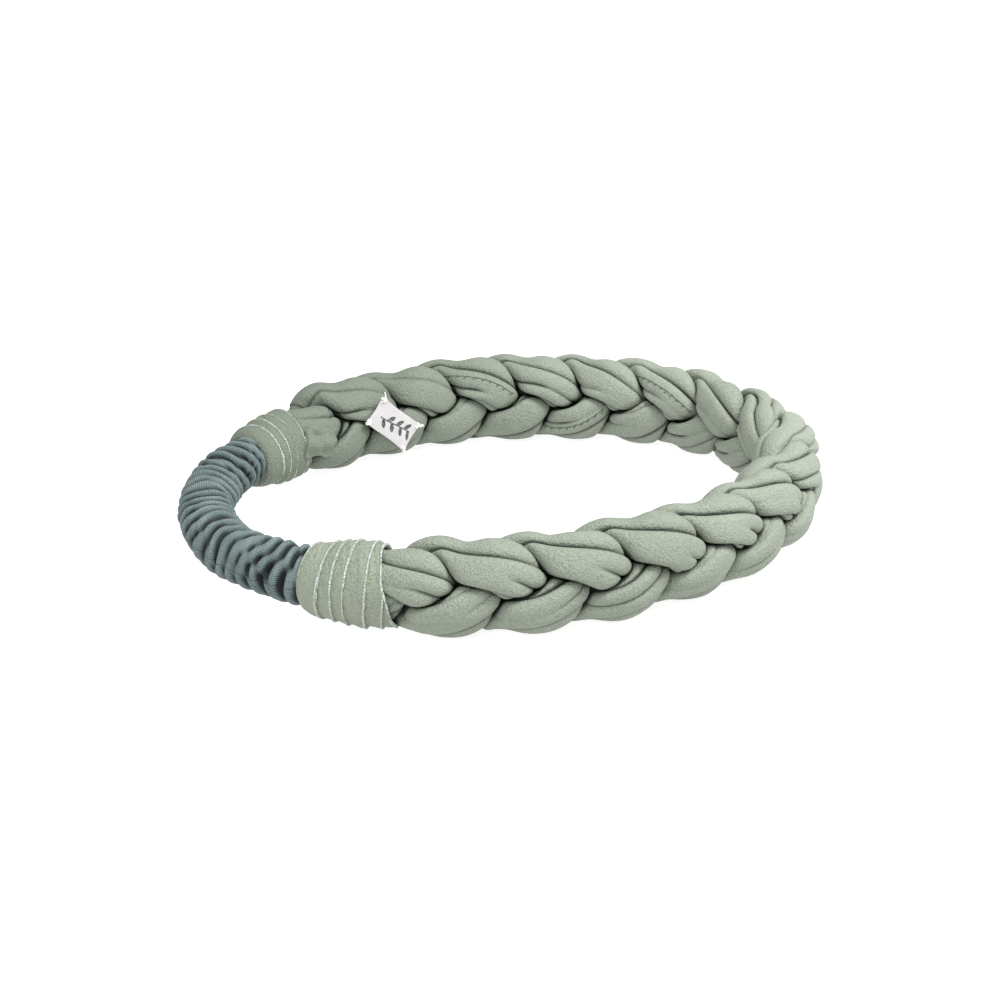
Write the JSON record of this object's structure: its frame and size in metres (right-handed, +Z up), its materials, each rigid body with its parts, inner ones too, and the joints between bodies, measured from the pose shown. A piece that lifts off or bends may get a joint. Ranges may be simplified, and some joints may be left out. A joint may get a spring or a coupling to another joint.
{
  "type": "plaited leather headband",
  "caption": "Closed oval headband of plaited soft leather, its ends bound with a wound leather strip and joined by a gathered knit sleeve over an elastic.",
  "frame": {"origin": "centre of the ring, on the surface that the ring's lower edge lies on", "axes": "+X to the crown of the plait, -X to the gathered sleeve, +Z up through the head opening"},
  "size_m": [0.1882, 0.146, 0.024],
  "materials": {
    "strand_leather": "soft matt sage green-grey grained leather",
    "binding_leather": "matt leather strip with a raw pale edge",
    "sleeve_knit": "fine ribbed slate blue knit, gathered",
    "elastic": "woven flat elastic",
    "thread": "off-white sewing thread",
    "label_cotton": "white woven cotton"
  },
  "bodies": {
    "right_half": {"strand_a_right": "strand_leather", "strand_b_right": "strand_leather", "strand_c_right": "strand_leather", "binding_right": "binding_leather", "whipping_right": "thread", "ruched_sleeve": "sleeve_knit", "elastic_band": "elastic"},
    "left_half": {"strand_a_left": "strand_leather", "strand_b_left": "strand_leather", "strand_c_left": "strand_leather", "binding_left": "binding_leather", "whipping_left": "thread", "label": "label_cotton", "label_stitches": "thread"}
  },
  "joints": [
    {"name": "ring_opening", "type": "hinge", "parent": "right_half", "child": "left_half", "pos_m": [0.0955, 0, 0.012], "axis": [0, 0, -1], "range_deg": [0, 15], "stiffness_Nm_per_rad": 2.5, "deforming": ["ruched_sleeve", "elastic_band"]}
  ]
}
